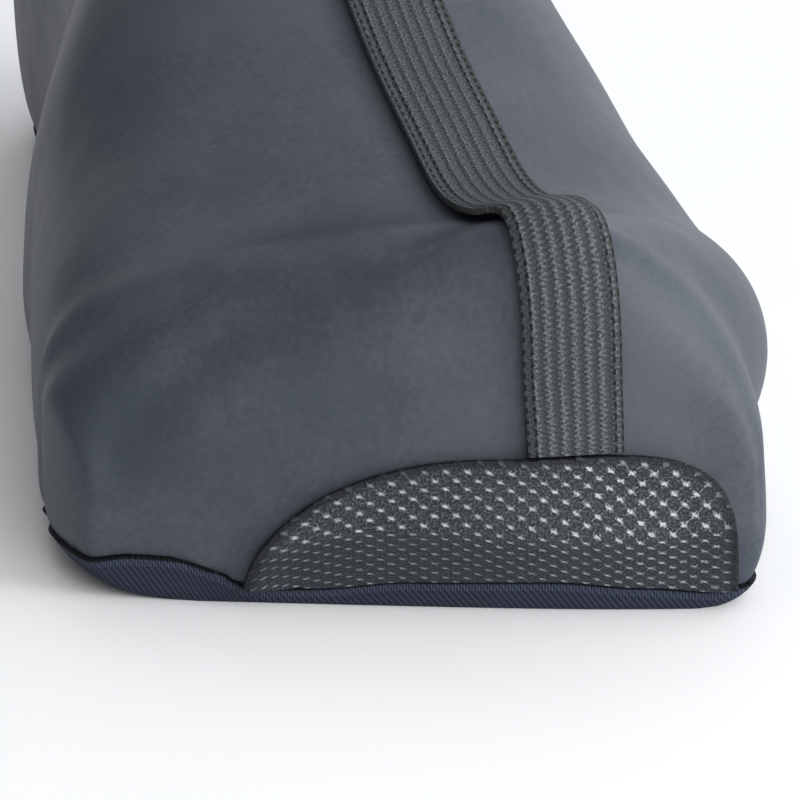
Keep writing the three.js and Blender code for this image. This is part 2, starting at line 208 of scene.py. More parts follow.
class OvershoeSizes(bpy.types.PropertyGroup):
    """Sizes of the overshoe, and how finely it is meshed"""

    length: millimetres("Length", "Toe box to heel", 298, 100)
    ball_width: millimetres("Ball width", "Width over the ball", 118, 40)
    height: millimetres("Height", "Floor to top hem", 226, 80)
    cloth: millimetres("Cloth", "Thickness of the cloth", 2, 0.5)
    gap: millimetres("Gap", "Gap between pieces", 0.3)
    tape_width: millimetres("Tape width", "Width of the centre tape", 16)
    tape_thickness: millimetres("Tape thickness", "Thickness of the tape", 1)
    cap_width: millimetres("Cap width", "Width of the toe cap", 76)
    cap_height: millimetres("Cap height", "Height of the toe cap's arch", 25)
    cap_thickness: millimetres("Cap thickness", "Thickness of the mesh", 1.2)
    sole_side: millimetres("Sole side", "Height of the sole panel's side", 4)
    sole_rim: millimetres("Sole rim", "How far the sole panel stands out", 0.8)
    toe_end: FloatVectorProperty(
        name="Toe end", description="Where the working origin lies in the part's frame, in mm",
        default=(10.384, -143.881, 0), size=3,
    )
    around: IntProperty(name="Around", description="Points round each section", default=168, min=24)
    steps: IntProperty(name="Steps", description="Rings between two rows of the table", default=9, min=1)
    nose_steps: IntProperty(name="Nose steps", description="Rings over the toe front", default=16, min=3)
    relaxing: IntProperty(name="Relaxing", description="Rounds of easing of the cloth", default=6, min=0)


class OvershoeColours(bpy.types.PropertyGroup):
    """Colours of the overshoe's finishes and of the floor"""

    cloth_dark: hex_colour("Cloth", "Coated cloth", "#3a404a")
    cloth_light: hex_colour("Cloth, lighter", "Coated cloth where it is rubbed", "#4a4f56")
    tape: hex_colour("Tape", "Woven tape", "#282b2d")
    thread: hex_colour("Thread", "Lighter threads and stitches", "#8e9294")
    mesh_hole: hex_colour("Mesh cells", "Cells of the cap's mesh", "#1b2129")
    mesh_rim: hex_colour("Mesh rims", "Rims of the mesh cells", "#b9c0c5")
    sole: hex_colour("Sole fabric", "Ribbed sole fabric", "#1d222f")
    floor: hex_colour("Floor", "Painted floor", "#fcfcfc")


# The form


def smoothstep(x, low, high):
    """Smooth rise from 0 at low to 1 at high, for numbers and arrays."""
    t = np.clip((np.asarray(x, dtype=float) - low) / (high - low), 0, 1)
    return t * t * (3 - 2 * t)


def rows_in_mm(sizes):
    """The table's rows in millimetres."""
    length, width, height = sizes.length, sizes.ball_width, sizes.height
    units = np.array([length, height, length, height, width, width, 1, width, 1, 1, 1, 1, 1, 1])
    return np.array(SECTIONS) * units


def all_sections(sizes):
    """Every section as a dict, from the toe's face to the hem."""
    rows = rows_in_mm(sizes)
    first = dict(zip(COLUMNS, rows[0]))
    sections = []
    for step in range(sizes.nose_steps, 0, -1):
        angle = math.pi / 2 * step / sizes.nose_steps
        forward = math.sin(angle)
        drawn_in = 1 - math.cos(angle)
        section = dict(first, forward=forward)
        section["floor_y"] -= NOSE["depth"] * forward
        section["crown_y"] += (first["floor_y"] - NOSE["depth"] + NOSE["lean"] - first["crown_y"]) * forward
        section["floor_z"] += NOSE["floor"] * drawn_in
        section["crown_z"] -= NOSE["crown"] * drawn_in
        section["outer"] -= NOSE["outer"] * drawn_in
        section["inner"] -= NOSE["inner"] * drawn_in
        section["inner_sweep"] += (NOSE["crown_sweep"] - first["inner_sweep"]) * forward
        more_sweep = NOSE["floor_sweep"] - first["inner_sweep"]
        section["inner_floor_sweep"] = first["inner_sweep"] + more_sweep * forward
        section["inner_floor_round"] += (NOSE["floor_round"] - first["inner_floor_round"]) * forward
        sections.append(section)
    padded = np.vstack([2 * rows[0] - rows[1], rows, 2 * rows[-1] - rows[-2]])
    for index in range(len(rows) - 1):
        before, here, after, beyond = padded[index:index + 4]
        for k in range(sizes.steps):
            t = k / sizes.steps
            rest = 1 - t
            row = (here * rest * rest * (1 + 2 * t) + after * t * t * (3 - 2 * t)
                   + (after - before) / 2 * t * rest * rest - (beyond - here) / 2 * t * t * rest)
            sections.append(dict(zip(COLUMNS, row)))
    sections.append(dict(zip(COLUMNS, rows[-1])))
    return sections


def ring(section, angles, sizes):
    """Points of one section, starting at the crown and going over the outer side."""
    across = np.sin(angles)
    up = np.cos(angles)
    outer = across > 0
    crown = np.where(outer, section["outer_crown_round"], section["inner_crown_round"])
    floor = np.where(outer, section["outer_floor_round"], section["inner_floor_round"])
    rounding = np.where(up > 0, crown, floor)
    radius = (np.abs(across) ** rounding + np.abs(up) ** rounding) ** (-1 / rounding)
    x = section["middle"] - radius * across * np.where(outer, section["outer"], section["inner"])
    widest = section["widest"]
    height = widest + radius * up * np.where(up > 0, 1 - widest, widest)
    low_sweep = section.get("inner_floor_sweep", section["inner_sweep"])
    inner_sweep = low_sweep + (section["inner_sweep"] - low_sweep) * smoothstep(height, 0, 1)
    even = (inner_sweep + section["outer_sweep"]) / 2
    bent = (inner_sweep - section["outer_sweep"]) / 2
    set_back = even * x + bent * (np.hypot(x, BEND) - BEND)
    y = section["floor_y"] + (section["crown_y"] - section["floor_y"]) * height - set_back
    z = section["floor_z"] + (section["crown_z"] - section["floor_z"]) * height - FLOOR_PRESS
    z = np.maximum(z, 0)
    return np.stack([x, y + tuck(z, sizes) * section.get("forward", 0), z], axis=1)


def tuck(z, sizes):
    """How far the toe front is tucked back below its fold."""
    return NOSE["tuck"] * (1 - smoothstep(z, sizes.sole_side, NOSE["tuck_top"]))


def normals_of(points):
    """Unit normals of a grid of rings, whose first ring is the toe's tip."""
    along = np.empty_like(points)
    along[1:-1] = points[2:] - points[:-2]
    along[0] = points[1] - points[0]
    along[-1] = points[-1] - points[-2]
    around = np.roll(points, -1, axis=1) - np.roll(points, 1, axis=1)
    around[0] = around[1]
    normals = np.cross(along, around)
    normals[0] = (0, -1, 0)
    normals[-1, :, 2] = 0
    return normals / np.maximum(np.linalg.norm(normals, axis=2, keepdims=True), TINY)


def fold_depth(points, sizes):
    """How far the folds press each point in."""
    unit = np.array([sizes.ball_width, sizes.length, sizes.height])
    total = np.zeros(points.shape[:2])
    for depth, reach, path in FOLDS:
        path = np.array(path) * unit
        nearest = np.full(points.shape[:2], FAR)
        for start, end in zip(path[:-1], path[1:]):
            edge = end - start
            share = np.clip(((points - start) @ edge) / (edge @ edge), 0, 1)
            away = np.linalg.norm(points - start - share[..., None] * edge, axis=2)
            nearest = np.minimum(nearest, away)
        total += depth * np.exp(-(nearest / reach) ** 2)
    return total


def form_grid(sizes):
    """Points and normals of the whole form, ring by ring, closed at the toe's tip."""
    angles = math.pi + np.linspace(0, 2 * math.pi, sizes.around, endpoint=False)
    rings = [ring(section, angles, sizes) for section in all_sections(sizes)]
    rim = rings[0].copy()
    rim[:, 1] -= tuck(rim[:, 2], sizes)
    centre = rim.mean(axis=0)
    centre[2] -= NOSE["bulge_drop"]
    face = []
    for share in np.linspace(0, 1, sizes.nose_steps, endpoint=False):
        inside = centre + (rim - centre) * share
        inside[:, 1] += tuck(inside[:, 2], sizes) - NOSE["bulge"] * (1 - share * share)
        face.append(inside)
    points = np.array(face + rings)
    points = points - normals_of(points) * fold_depth(points, sizes)[..., None]
    for _ in range(sizes.relaxing):
        sides = (np.roll(points, 1, axis=1) + np.roll(points, -1, axis=1)) / 2
        ends = (points[2:] + points[:-2]) / 2
        points[1:-1] = points[1:-1] / 2 + (sides[1:-1] + ends) / 4
    points[0] = points[1].mean(axis=0)
    return points, normals_of(points)


def seam_height(points, sizes):
    """Height of the seam above the sole panel at each point."""
    across = points[:, 0] / sizes.ball_width
    share = np.ones(len(points))
    for (start, low), (end, high) in zip(TOE_SEAM[:-1], TOE_SEAM[1:]):
        here = (across >= start) & (across < end)
        share[here] = low + (high - low) * smoothstep(across[here], start, end)
    start = SEAM_FADE["start"]
    at_front = 1 - smoothstep(points[:, 1], start, start + SEAM_FADE["length"])
    return sizes.sole_side * (1 + (share - 1) * at_front)


def seam_field(points, sizes):
    """Negative below the sole panel's seam."""
    return points[:, 2] - seam_height(points, sizes)


def tape_middle(points, sizes):
    """Sideways place of the tape's middle at each point."""
    rows = rows_in_mm(sizes)
    return np.interp(points[:, 1], rows[:, COLUMNS.index("crown_y")], rows[:, COLUMNS.index("middle")])


def tape_field(points, sizes):
    """Negative within the tape's width, in front of the middle of the leg."""
    end = TAPE_FRONT["end"]
    behind_toe = smoothstep(points[:, 1], end, end + TAPE_FRONT["length"])
    share = 1 - TAPE_FRONT["narrowing"] * (1 - behind_toe)
    half = sizes.tape_width / 2 * share
    beside = np.abs(points[:, 0] - tape_middle(points, sizes)) - half
    hem = dict(zip(COLUMNS, rows_in_mm(sizes)[-1]))
    behind = points[:, 1] - (hem["floor_y"] + hem["crown_y"]) / 2
    below = TAPE_FRONT["lowest"] - points[:, 2]
    return np.maximum(np.maximum(beside, behind), below)


def cap_place(points, sizes):
    """Across from the cap's middle, up from the floor, and back along the cap's sweep, in mm."""
    turn = math.radians(CAP["sweep"])
    inner_corner = SECTIONS[0][COLUMNS.index("inner")] * sizes.ball_width - NOSE["inner"]
    middle = inner_corner - CAP["inner_margin"] - sizes.cap_width / 2
    across = points[:, 0] * math.cos(turn) - points[:, 1] * math.sin(turn) - middle
    depth = points[:, 0] * math.sin(turn) + points[:, 1] * math.cos(turn)
    return across, points[:, 2], depth


def cap_field(points, sizes):
    """Negative inside the cap's arch, about in millimetres."""
    across, up, depth = cap_place(points, sizes)
    half = sizes.cap_width / 2
    rounding = np.where(across > 0, CAP["inner_round"], CAP["outer_round"])
    radius = ((np.abs(across) / half) ** rounding + (np.maximum(up, 0) / sizes.cap_height) ** rounding)
    arch = (radius ** (1 / rounding) - 1) * sizes.cap_height
    return np.maximum(arch, depth - CAP["reach_back"])


def above_seam(points, sizes):
    """Negative above the seam and its gap, where the upper and the cap are."""
    return sizes.gap - seam_field(points, sizes)


def outside_cap(points, sizes):
    """Negative outside the cap and its gap, where the tape is."""
    return sizes.gap - cap_field(points, sizes)


def depth_in_cap(points, sizes):
    """How far each point is inside the cap's edge, about in millimetres."""
    return -cap_field(points, sizes)


# Meshes


def skin_mesh(sizes, distance):
    """A bmesh of the form moved outwards by a distance, in working millimetres."""
    points, normals = form_grid(sizes)
    points = points + normals * distance
    points[..., 2] = np.maximum(points[..., 2], max(-distance, 0))
    wrapped = np.concatenate([points, points[:, :1]], axis=1)
    rings, count = wrapped.shape[:2]
    bm = bmesh.new()
    bmesh.ops.create_grid(bm, x_segments=count - 1, y_segments=rings - 1, size=1)
    bm.verts.ensure_lookup_table()
    for vert, place in zip(bm.verts, wrapped.reshape(-1, 3)):
        vert.co = place
    bmesh.ops.remove_doubles(bm, verts=bm.verts, dist=MERGE["grid"])
    return bm


def keep_inside(bm, field, sizes):
    """Cuts a bmesh along a field's zero line and keeps the side where the field is negative."""
    places = np.array([vert.co[:] for vert in bm.verts])
    values = dict(zip(bm.verts, field(places, sizes)))
    for edge in list(bm.edges):
        start, end = edge.verts
        low, high = values[start], values[end]
        if low * high < 0:
            cut = bmesh.utils.edge_split(edge, start, low / (low - high))[1]
            values[cut] = 0.0
    for face in list(bm.faces):
        on_line = [vert for vert in face.verts if values[vert] == 0]
        if len(on_line) == 2:
            first, second = on_line
            if not any(edge.other_vert(first) == second for edge in first.link_edges):
                bmesh.utils.face_split(face, first, second)
    outside = [face for face in bm.faces if max(values[vert] for vert in face.verts) > 0]
    bmesh.ops.delete(bm, geom=outside, context="FACES")
    slivers = [vert for vert in bm.verts if values[vert] == 0]
    bmesh.ops.remove_doubles(bm, verts=slivers, dist=MERGE["cut"])


def puff(bm, field, height, reach, sizes):
    """Moves a patch along its normals, by nothing at its edge and by a height from some reach inside it."""
    bm.normal_update()
    places = np.array([vert.co[:] for vert in bm.verts])
    inside = smoothstep(-field(places, sizes), 0, reach)
    for vert, share in zip(bm.verts, inside):
        vert.co += vert.normal * (height * share)


def add_value(bm, name, value_at, sizes):
    """Keeps a value in mm for each point of a patch, as an attribute."""
    layer = bm.verts.layers.float.new(name)
    places = np.array([vert.co[:] for vert in bm.verts])
    for vert, value in zip(bm.verts, value_at(places, sizes)):
        vert[layer] = value


def finished(bm, name, sizes, material):
    """Moves a bmesh into the part's frame and makes it a piece that rides on the overshoe."""
    bmesh.ops.recalc_face_normals(bm, faces=bm.faces)
    bmesh.ops.translate(bm, verts=bm.verts, vec=Vector(sizes.toe_end))
    bmesh.ops.scale(bm, verts=bm.verts, vec=(MM, MM, MM))
    mesh = bpy.data.meshes.new(name)
    bm.to_mesh(mesh)
    bm.free()
    mesh.polygons.foreach_set("use_smooth", [True] * len(mesh.polygons))
    piece = bpy.data.objects.new(name, mesh)
    bpy.context.scene.collection.objects.link(piece)
    mesh.materials.append(material)
    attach(piece, "root")
    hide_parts(name.replace("_look", ""))
    return piece


def give_wall(piece, thickness, edge):
    """Gives a skin its wall, behind its faces, and rounds its edges. The faces of the cap and of the tape
    point inwards, so their walls lie outside their skins."""
    wall = piece.modifiers.new("Wall", "SOLIDIFY")
    wall.thickness = thickness * MM
    wall.offset = -1
    wall.use_even_offset = False
    rounded = piece.modifiers.new("Edge", "BEVEL")
    rounded.width = edge * MM
    rounded.segments = EDGE["segments"]
    rounded.limit_method = "ANGLE"
    rounded.angle_limit = math.radians(EDGE["angle"])


def add_uv(bm, place, sizes):
    """Gives a bmesh a UV map in metres from a function of working places."""
    layer = bm.loops.layers.uv.new("pattern")
    places = np.array([vert.co[:] for vert in bm.verts])
    across, along = place(places, sizes)
    at = {vert: (u * MM, v * MM) for vert, u, v in zip(bm.verts, across, along)}
    for face in bm.faces:
        for loop in face.loops:
            loop[layer].uv = at[loop.vert]


def tape_uv(points, sizes):
    """Across from the tape's middle and along its run."""
    grid, _ = form_grid(sizes)
    crown = grid[:, sizes.around // 2]
    crown = crown[crown[:, 2] > TAPE_FRONT["run_from"]]
    run = np.concatenate([[0], np.cumsum(np.linalg.norm(np.diff(crown, axis=0), axis=1))])
    along = np.zeros(len(points))
    best = np.full(len(points), FAR)
    flat = points[:, 1:]
    for k in range(len(crown) - 1):
        start, end = crown[k, 1:], crown[k + 1, 1:]
        edge = end - start
        share = np.clip(((flat - start) @ edge) / max(edge @ edge, TINY), 0, 1)
        away = np.linalg.norm(flat - start - share[:, None] * edge, axis=1)
        closer = away < best
        best = np.where(closer, away, best)
        along = np.where(closer, run[k] + share * (run[k + 1] - run[k]), along)
    return points[:, 0] - tape_middle(points, sizes), along


def above_fold(points, sizes):
    """Height above the fold across the cap."""
    across, up, _ = cap_place(points, sizes)
    where, height = np.array(CAP_FOLD).T
    return up - np.interp(across, where, height)


def cap_uv(points, sizes):
    """Across the cap's face, and up from its fold in arched rows, which are closer together below it."""
    across = cap_place(points, sizes)[0]
    above = above_fold(points, sizes)
    arch = CAP["row_arch"] * (across / (sizes.cap_width / 2)) ** 2
    return across, np.where(above < 0, above * CAP["squash"], above) + arch


def sole_uv(points, sizes):
    """Round the sole's side, and down from its seam."""
    return points[:, 0] - points[:, 1], seam_field(points, sizes)


# Materials


# Nodes by what they do: Blender's name, settings, the inputs that are given in order, and the output that
# is read
NODES = {
    "object_place": ("ShaderNodeTexCoord", {}, (), "Object"),
    "sky_place": ("ShaderNodeTexCoord", {}, (), "Generated"),
    "pattern_place": ("ShaderNodeUVMap", {"uv_map": "pattern"}, (), "UV"),
    "inside": ("ShaderNodeAttribute", {"attribute_name": "inside"}, (), "Fac"),
    "above_fold": ("ShaderNodeAttribute", {"attribute_name": "above_fold"}, (), "Fac"),
    "split": ("ShaderNodeSeparateXYZ", {}, ("Vector",), "X"),
    "stretch": ("ShaderNodeMapping", {"vector_type": "TEXTURE"}, ("Vector", "Scale"), "Vector"),
    "shift": ("ShaderNodeVectorMath", {"operation": "ADD"}, (0, 1), "Vector"),
    "scale": ("ShaderNodeVectorMath", {"operation": "MULTIPLY"}, (0, 1), "Vector"),
    "wrap": ("ShaderNodeVectorMath", {"operation": "WRAP"}, (0, 1, 2), "Vector"),
    "length": ("ShaderNodeVectorMath", {"operation": "LENGTH"}, (0,), "Value"),
    "turn": ("ShaderNodeVectorRotate", {"rotation_type": "Z_AXIS"}, ("Vector", "Angle"), "Vector"),
    "noise": ("ShaderNodeTexNoise", {}, ("Vector", "Scale", "Detail"), "Fac"),
    "rise": ("ShaderNodeMapRange", {"interpolation_type": "SMOOTHSTEP"}, (0, 1, 2), "Result"),
    "multiply": ("ShaderNodeMath", {"operation": "MULTIPLY"}, (0, 1), 0),
    "multiply_add": ("ShaderNodeMath", {"operation": "MULTIPLY_ADD"}, (0, 1, 2), 0),
    "subtract": ("ShaderNodeMath", {"operation": "SUBTRACT"}, (0, 1), 0),
    "absolute": ("ShaderNodeMath", {"operation": "ABSOLUTE"}, (0,), 0),
    "sine": ("ShaderNodeMath", {"operation": "SINE"}, (0,), 0),
    "pingpong": ("ShaderNodeMath", {"operation": "PINGPONG"}, (0, 1), 0),
    "least": ("ShaderNodeMath", {"operation": "MINIMUM"}, (0, 1), 0),
    "most": ("ShaderNodeMath", {"operation": "MAXIMUM"}, (0, 1), 0),
    "blend": ("ShaderNodeMix", {"data_type": "RGBA"}, (0, 6, 7), 2),
    "bump": ("ShaderNodeBump", {}, ("Height", "Distance", "Strength"), "Normal"),
}


def new_material(name):
    """A node material, with its tree and its shader."""
    material = bpy.data.materials.new(name)
    material.use_nodes = True
    return material, material.node_tree, material.node_tree.nodes["Principled BSDF"]


def feed(tree, node, inputs):
    """Gives a node's inputs their values, or links them to other nodes' outputs."""
    for key, value in inputs.items():
        if isinstance(value, bpy.types.NodeSocket):
            tree.links.new(value, node.inputs[key])
        else:
            node.inputs[key].default_value = value


def add(tree, name, *values):
    """Adds a node with its settings, feeds its inputs in order, and returns the output that is read."""
    kind, settings, inputs, output = NODES[name]
    node = tree.nodes.new(kind)
    for key, value in settings.items():
        setattr(node, key, value)
    feed(tree, node, dict(zip(inputs, values)))
    return node.outputs[output]


def per_metre(size):
    """How many times a size in millimetres goes into a metre."""
    return 1 / (size * MM)


def in_metres(lengths):
    """Lengths in millimetres, turned to metres."""
    return [length * MM for length in lengths]


def shade(colour, share=1, lift=0):
    """An opaque colour, made darker or lighter by a share and a lift."""
    return (*(min(1, part * share + lift) for part in colour), 1)


def waves(tree, value, pitch):
    """A wave from 0 to 1 that repeats every pitch millimetres of a length in metres."""
    turned = add(tree, "multiply", value, 2 * math.pi / (pitch * MM))
    return add(tree, "multiply_add", add(tree, "sine", turned), 0.5, 0.5)


def uv_parts(tree):
    """The pattern's UV place and its two lengths in metres."""
    place = add(tree, "pattern_place")
    parts = add(tree, "split", place).node.outputs
    return place, parts["X"], parts["Y"]


def staggered(tree, place, shape, aside=0.0, turn=0.0):
    """Distance, in cells, to the nearest point of a lattice whose rows are shifted by half a cell.
    The shape makes the marks oval, and the turn lays them aslant."""
    cells = add(tree, "scale", place, (per_metre(MESH_CELLS["width"]), per_metre(MESH_CELLS["height"]), 1))
    distances = []
    for shift in ((aside, 0, 0), (aside + 0.5, 0.5, 0)):
        moved = add(tree, "shift", cells, shift)
        wrapped = add(tree, "wrap", moved, (0.5, 0.5, 1), (-0.5, -0.5, -1))
        flat = add(tree, "scale", add(tree, "turn", wrapped, turn), shape)
        distances.append(add(tree, "length", flat))
    return add(tree, "least", *distances)


def coated_cloth(colours):
    """Polyurethane-coated stretch knit: smooth and satin, with a fine grain and soft drag lines.
    The grain is drawn coarser than a real one, so that it shows."""
    material, tree, shader = new_material("polyurethane_coated_knit")
    place = add(tree, "object_place")
    patches = add(tree, "noise", place, per_metre(CLOTH_MARKS["patches"]), 3)
    speckle = add(tree, "noise", place, per_metre(CLOTH_MARKS["speckle"]), 2)
    tone = add(tree, "multiply_add", speckle, 0.3, add(tree, "multiply", patches, 0.75))
    rubbed = add(tree, "rise", tone, 0.4, 0.68)
    drawn = add(tree, "stretch", place, CLOTH_MARKS["drag_stretch"])
    grain = add(tree, "noise", place, per_metre(CLOTH_MARKS["grain"]), 1)
    soft = add(tree, "noise", place, per_metre(CLOTH_MARKS["soft"]), 2)
    drag = add(tree, "noise", drawn, per_metre(CLOTH_MARKS["drag"]), 2)
    height = add(tree, "multiply_add", grain, 0.03, add(tree, "multiply_add", drag, 0.6, soft))
    feed(tree, shader, {
        "Base Color": add(tree, "blend", rubbed, shade(colours.cloth_dark), shade(colours.cloth_light)),
        "Roughness": add(tree, "multiply_add", patches, 0.14, 0.42),
        "IOR": 1.46,
        "Specular IOR Level": 0.32,
        "Normal": add(tree, "bump", height, CLOTH_MARKS["relief"] * MM, 0.8),
    })
    return material


def woven_tape(colours):
    """Woven elastic tape: thin light warp lines on the instep, columns of small zigzags over the toe,
    and two lines of stitches along each edge."""
    material, tree, shader = new_material("woven_elastic_tape")
    place, across, along = uv_parts(tree)
    on_instep = add(tree, "rise", along, TAPE_WEAVE["toe_until"] * MM, TAPE_WEAVE["instep_from"] * MM)
    zigzag = add(tree, "pingpong", along, TAPE_WEAVE["zigzag"] * MM)
    columns = add(tree, "multiply_add", zigzag, add(tree, "subtract", 1.3, on_instep), across)
    ribs = waves(tree, columns, TAPE_WEAVE["lines"])
    fuzz = add(tree, "noise", place, per_metre(TAPE_WEAVE["fuzz"]), 2)
    worn = add(tree, "multiply_add", add(tree, "rise", fuzz, 0.35, 0.62), 0.32, 0.03)
    toe = add(tree, "multiply_add", add(tree, "rise", ribs, 0.3, 0.9), worn, add(tree, "multiply", fuzz, 0.2))
    lines = add(tree, "multiply_add", add(tree, "rise", ribs, 0.88, 1.0), 0.24, 0.24)
    instep = add(tree, "multiply", lines, add(tree, "rise", fuzz, 0.25, 0.7))
    light = add(tree, "blend", on_instep, toe, instep)
    colour = add(tree, "blend", light, shade(colours.tape), shade(colours.thread))
    side = add(tree, "absolute", across)
    rows = []
    for where in TAPE_WEAVE["stitch_rows"]:
        near = add(tree, "absolute", add(tree, "subtract", side, where * MM))
        past = add(tree, "rise", near, TAPE_WEAVE["stitch_core"] * MM, TAPE_WEAVE["stitch_edge"] * MM)
        rows.append(add(tree, "subtract", 1.0, past))
    band = add(tree, "most", *rows)
    dash = add(tree, "rise", waves(tree, along, TAPE_WEAVE["stitches"]), 0.25, 0.6)
    stitch = add(tree, "multiply", band, dash)
    colour = add(tree, "blend", add(tree, "multiply", band, 0.9), colour, shade(colours.tape, 0.25))
    colour = add(tree, "blend", add(tree, "multiply", stitch, 0.1), colour, shade(colours.thread))
    height = add(tree, "multiply_add", fuzz, 0.9, ribs)
    height = add(tree, "multiply_add", band, -0.8, height)
    height = add(tree, "multiply_add", stitch, 0.9, height)
    feed(tree, shader, {
        "Base Color": colour,
        "Roughness": 0.85,
        "Specular IOR Level": 0.25,
        "Normal": add(tree, "bump", height, TAPE_WEAVE["relief"] * MM, 1.0),
    })
    return material


def honeycomb_mesh(colours):
    """Knitted spacer mesh: dark round cells 3.3 mm apart in staggered rows, with fuzzy rims and a bright knot
    between each two cells.
    Painted light and shade: its strands are drawn brighter towards its inner end, which faces the light, half
    as bright below its fold, where it tucks under, and dark along its edge, where shade falls in the gap to
    the cloth."""
    material, tree, shader = new_material("knitted_honeycomb_mesh")
    place, across, _ = uv_parts(tree)
    cell = staggered(tree, place, MESH_CELLS["cell_shape"])
    knot = staggered(tree, place, MESH_CELLS["knot_shape"], 0.5, math.radians(MESH_CELLS["knot_turn"]))
    fuzz = add(tree, "noise", place, per_metre(MESH_CELLS["fuzz"]), 2)
    patchy = add(tree, "noise", place, per_metre(MESH_CELLS["patches"]), 1)
    rim = add(tree, "rise", add(tree, "multiply_add", fuzz, 0.22, cell), 0.4, 0.54)
    ragged = add(tree, "multiply_add", fuzz, 0.2, knot)
    spot = add(tree, "subtract", 1.0, add(tree, "rise", ragged, 0.12, 0.32))
    spot = add(tree, "multiply", spot, add(tree, "multiply_add", patchy, 0.9, 0.15))
    # Painted light: the strands are drawn brighter towards the cap's inner end, the side that faces the light
    inner_end = add(tree, "rise", across, 0, MESH_CELLS["inner_end"] * MM)
    painted_light_inner_end = add(tree, "multiply_add", inner_end, 0.55, 0.3)
    strands = add(tree, "multiply", add(tree, "rise", fuzz, 0.3, 0.65), painted_light_inner_end)
    light = add(tree, "multiply_add", rim, strands, spot)
    light = add(tree, "multiply_add", add(tree, "rise", fuzz, 0.42, 0.7), 0.14, light)
    # Painted shade: below the cap's fold, where the mesh tucks under and faces down, its light threads are
    # drawn half as bright
    shade_fold_line = add(tree, "multiply_add", patchy, 2.5, add(tree, "above_fold"))
    above = add(tree, "rise", shade_fold_line, *MESH_CELLS["fold"])
    light = add(tree, "multiply", light, add(tree, "multiply_add", above, 0.5, 0.5))
    colour = add(tree, "blend", light, shade(colours.mesh_hole), shade(colours.mesh_rim))
    # Painted shade: the cap is drawn dark along its edge, where shade falls in the gap to the cloth below it
    past_painted_edge_shade = add(tree, "rise", add(tree, "inside"), *MESH_CELLS["painted_edge_shade"])
    painted_edge_shade = add(tree, "multiply", add(tree, "subtract", 1.0, past_painted_edge_shade), 0.9)
    height = add(tree, "multiply_add", fuzz, 0.35, add(tree, "most", rim, spot))
    feed(tree, shader, {
        "Base Color": add(tree, "blend", painted_edge_shade, colour, shade(colours.mesh_hole, 0.3)),
        "Roughness": 0.6,
        "Specular IOR Level": 0.35,
        "Normal": add(tree, "bump", height, MESH_CELLS["relief"] * MM, 1.0),
    })
    return material


def ribbed_fabric(colours):
    """Ribbed polyamide twill: dark navy and matte, slanting ribs 1.3 mm apart, overlocked along its seam,
    with a painted shadow along the seam.
    """
    material, tree, shader = new_material("ribbed_polyamide_twill")
    place, around, down = uv_parts(tree)
    ribs = waves(tree, add(tree, "multiply_add", down, SOLE_RIBS["slant"], around), SOLE_RIBS["pitch"])
    fuzz = add(tree, "noise", place, per_metre(SOLE_RIBS["fuzz"]), 2)
    tone = add(tree, "multiply", ribs, add(tree, "multiply_add", fuzz, 0.2, 0.05))
    tone = add(tree, "multiply_add", fuzz, 0.16, tone)
    band = add(tree, "rise", down, *in_metres(SOLE_RIBS["band"]))
    stitched = add(tree, "rise", waves(tree, around, SOLE_RIBS["loops"]), 0.3, 0.8)
    loops = add(tree, "multiply", band, stitched)
    tone = add(tree, "multiply_add", loops, 0.6, tone)
    colour = add(tree, "blend", tone, shade(colours.sole), shade(colours.sole, 4, 0.015))
    # Painted shadow: the sole fabric is drawn dark just below the seam, in the gap under the cloth and the
    # cap
    edge = add(tree, "rise", down, *in_metres(SOLE_RIBS["edge"]))
    height = add(tree, "multiply_add", fuzz, 0.5, ribs)
    height = add(tree, "multiply_add", loops, 0.8, height)
    feed(tree, shader, {
        "Base Color": add(tree, "blend", edge, colour, shade(colours.sole, 0.2)),
        "Roughness": 0.85,
        "Specular IOR Level": 0.25,
        "Normal": add(tree, "bump", height, SOLE_RIBS["relief"] * MM, 1.0),
    })
    return material


def painted_board(colours):
    """Matte painted board: pale and even, with barely seen mottling."""
    material, tree, shader = new_material("matte_painted_board")
    mottle = add(tree, "noise", add(tree, "object_place"), per_metre(FLOOR["mottle"]), 2)
    feed(tree, shader, {
        "Base Color": add(tree, "blend", mottle, shade(colours.floor), shade(colours.floor, 0.96)),
        "Roughness": 0.7,
    })
    return material


# Floor, light and camera


def build_floor(scene):
    """The wide floor under the overshoe."""
    bm = bmesh.new()
    bmesh.ops.create_grid(bm, x_segments=1, y_segments=1, size=FLOOR["half"])
    mesh = bpy.data.meshes.new("floor")
    bm.to_mesh(mesh)
    bm.free()
    floor = bpy.data.objects.new("floor", mesh)
    scene.collection.objects.link(floor)
    mesh.materials.append(painted_board(scene.overshoe_colours))


def build_sky(scene):
    """Soft light from all round."""
    world = bpy.data.worlds.new("soft_studio")
    world.use_nodes = True
    tree = world.node_tree
    across = add(tree, "split", add(tree, "sky_place"))
    risen = add(tree, "rise", across, *SKY["rise"])
    feed(tree, tree.nodes["Background"], {
        "Color": SKY["colour"],
        "Strength": add(tree, "multiply_add", risen, SKY["gain"], SKY["least"]),
    })
    scene.world = world
    scene.view_settings.view_transform = "Standard"


def build_lights(scene):
    """The area lights, each turned to the same point."""
    for name, place, power, size in LIGHTS:
        data = bpy.data.lights.new(name, "AREA")
        data.energy = power
        data.size = size
        light = bpy.data.objects.new(name, data)
        light.location = place
        light.rotation_euler = (Vector(LIGHT_AIM) - Vector(place)).to_track_quat("-Z", "Y").to_euler()
        scene.collection.objects.link(light)


def build_camera(scene):
    """The camera where the photograph's was."""
    data = bpy.data.cameras.new("camera")
    data.sensor_width = CAMERA["sensor"]
    data.lens = CAMERA["focal"] / CAMERA["frame"] * CAMERA["sensor"]
    data.clip_end = CAMERA["sight"]
    camera = bpy.data.objects.new("camera", data)
    camera.location = (Vector(CAMERA["place"]) + Vector(scene.overshoe_sizes.toe_end)) * MM
    camera.rotation_euler = (math.radians(90 - CAMERA["down"]), 0, math.radians(CAMERA["turn"]))
    scene.collection.objects.link(camera)
    scene.camera = camera


# Operators


